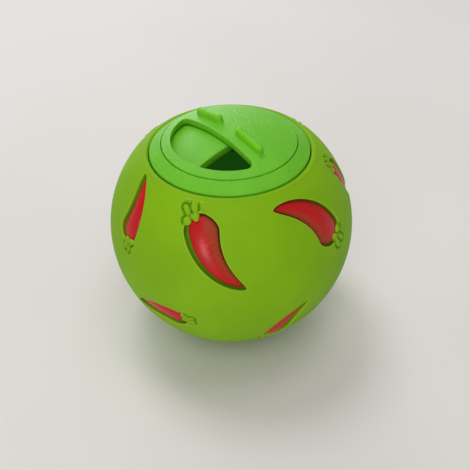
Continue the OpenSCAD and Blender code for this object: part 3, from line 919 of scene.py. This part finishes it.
def satinGreen():
    # moulded plastic with a fine satin grain; the ribs are painted lighter towards their tops, a painted highlight for
    # the light that passes through the thin plastic, and the hidden faces get a painted dim green glow;
    # the mark is 1 on the ribs and -1 on hidden faces
    f = Finish("satinGreen")
    part = f.mark()
    cloud = f.noise(90, 2)
    base = f.mix(f.band(cloud, 0.35, 0.65), tone(plasticLook["main"]), tone(plasticLook["mottled"]))
    # painted highlight: the ribs lighter towards their tops
    base = f.mix(f.band(part, 0.2, 1.0), base, tone(plasticLook["ribs"]))
    grain = f.noise(3200, 2, 0.7)
    broad = f.noise(1150, 2)
    normal = f.bump(grain * 0.3 + broad * 0.7, 0.00036, 1.0)
    # painted glow: dim green light on the hidden faces, where no lamp shines
    paintedGlow = f.mix(f.band(0 - part, 0.3, 0.9), black, tone(plasticLook["inside"]))
    return f.finish(Base_Color=base, Roughness=0.42 + grain * 0.1, Normal=normal, Specular_IOR_Level=0.3,
                    Emission_Color=paintedGlow, Emission_Strength=1.0)


def plainSteel():
    # bright steel with a fine uneven grain
    f = Finish("plainSteel")
    grain = f.noise(1800, 3)
    normal = f.bump(grain, 0.00002, 0.3)
    return f.finish(Base_Color=tone(steelLook["main"]), Metallic=1.0, Roughness=0.26 + grain * 0.14, Normal=normal)


rubber, red, plastic, steel = softRubber(), glossyRed(), satinGreen(), plainSteel()
for piece, material in [(shellPiece, rubber), (lidPiece, plastic), (dialPiece, plastic), (ringPiece, plastic),
                        (washerPiece, steel), (screwPiece, steel)] + [(p, red) for p in pepperPieces]:
    piece.data.materials.append(material)
report("finishes")

# floor, light and camera
stageSet = dict(
    floor=9.0,                                  # half its width in metres
    tilt=37.71, away=304.0, roll=1.45,          # the camera's height in degrees, distance in millimetres and roll
    picture=470, focal=958.4,                   # the picture's width and the lens, in the picture's own dots
    middle=(231.75, 221.14),                    # where the middle of the ball lands in it
    reach=1.15,                                 # how far off the lamps stand
    world=0.42, room=(0.99, 0.965, 0.945, 1),   # the room's own light and its colour
)


def makeFloor():
    # a level sheet of paper, slightly wavy in tone
    half = stageSet["floor"]
    ticks = np.linspace(-half, half, 9)
    x, y = np.meshgrid(ticks, ticks)
    mesh = bpy.data.meshes.new("floor")
    mesh.from_pydata(np.stack([x, y, x * 0], -1).reshape(-1, 3).tolist(), [], gridFaces(9, 9, False).tolist())
    floor = bpy.data.objects.new("floor", mesh)
    bpy.context.scene.collection.objects.link(floor)
    f = Finish("paleFloor")
    cloud = f.noise(9, 2)
    base = f.mix(f.band(cloud, 0.3, 0.7), tone(paperLook["main"]), tone(paperLook["mottled"]))
    mesh.materials.append(f.finish(Base_Color=base, Roughness=0.7, Specular_IOR_Level=0.2))


def makeLamp(name, bearing, height, size, power, colour):
    lamp = bpy.data.lights.new(name, "AREA")
    lamp.shape, lamp.size, lamp.energy, lamp.color = "DISK", size, power, colour
    held = bpy.data.objects.new(name, lamp)
    bpy.context.scene.collection.objects.link(held)
    out = Vector((math.cos(height) * math.sin(bearing), math.cos(height) * math.cos(bearing), math.sin(height)))
    held.location = out * stageSet["reach"] + Vector((0, 0, centreZ / 1000))
    held.rotation_mode = "QUATERNION"
    held.rotation_quaternion = (-out).to_track_quat("-Z", "Y")


def makeCamera():
    # stands at the photograph's distance and height, then turns a little so that the ball lands where it does there
    tilt, away = math.radians(stageSet["tilt"]), stageSet["away"] / 1000
    back = Vector((0, -math.cos(tilt), math.sin(tilt)))
    right = Vector((1, 0, 0))
    up = right.cross(-back)
    focal, half = stageSet["focal"], stageSet["picture"] / 2
    aside = math.atan((stageSet["middle"][0] - half) / focal)
    over = math.atan((stageSet["middle"][1] - half) / focal)
    turn = Matrix.Rotation(aside, 3, up)
    ahead, right = turn @ -back, turn @ right
    turn = Matrix.Rotation(over, 3, right)
    ahead, up = turn @ ahead, turn @ up
    turn = Matrix.Rotation(math.radians(stageSet["roll"]), 3, ahead)
    right, up = turn @ right, turn @ up
    camera = bpy.data.cameras.new("camera")
    camera.sensor_width = 36
    camera.lens = camera.sensor_width * focal / stageSet["picture"]
    camera.clip_start, camera.clip_end = 0.01, 10
    held = bpy.data.objects.new("camera", camera)
    bpy.context.scene.collection.objects.link(held)
    axes = Matrix((right, up, -ahead)).transposed()
    held.matrix_world = Matrix.Translation(back * away + Vector((0, 0, centreZ / 1000))) @ axes.to_4x4()
    bpy.context.scene.camera = held


makeFloor()
# each lamp: name, degrees round from the back of the stage to its right, height in degrees, width, power and colour
cool, warm = (0.985, 0.995, 1.0), (1.0, 0.965, 0.92)
lamps = [
    ("windowBack", 328, 66, 0.46, 3.8, cool), ("windowFront", 184, 48, 0.8, 2.7, warm),
    ("windowLow", 206, 6, 0.34, 2.6, warm), ("windowFar", 346, 14, 0.6, 3.8, cool),
    ("windowTop", 90, 80, 0.5, 1.42, cool),
]
for name, bearing, height, size, power, colour in lamps:
    makeLamp(name, math.radians(bearing), math.radians(height), size, power, colour)
makeCamera()
world = bpy.data.worlds.new("room")
world.use_nodes = True
background = world.node_tree.nodes["Background"]
background.inputs["Color"].default_value = stageSet["room"]
background.inputs["Strength"].default_value = stageSet["world"]
bpy.context.scene.world = world
bpy.context.scene.view_settings.view_transform = "Standard"
report("stage")
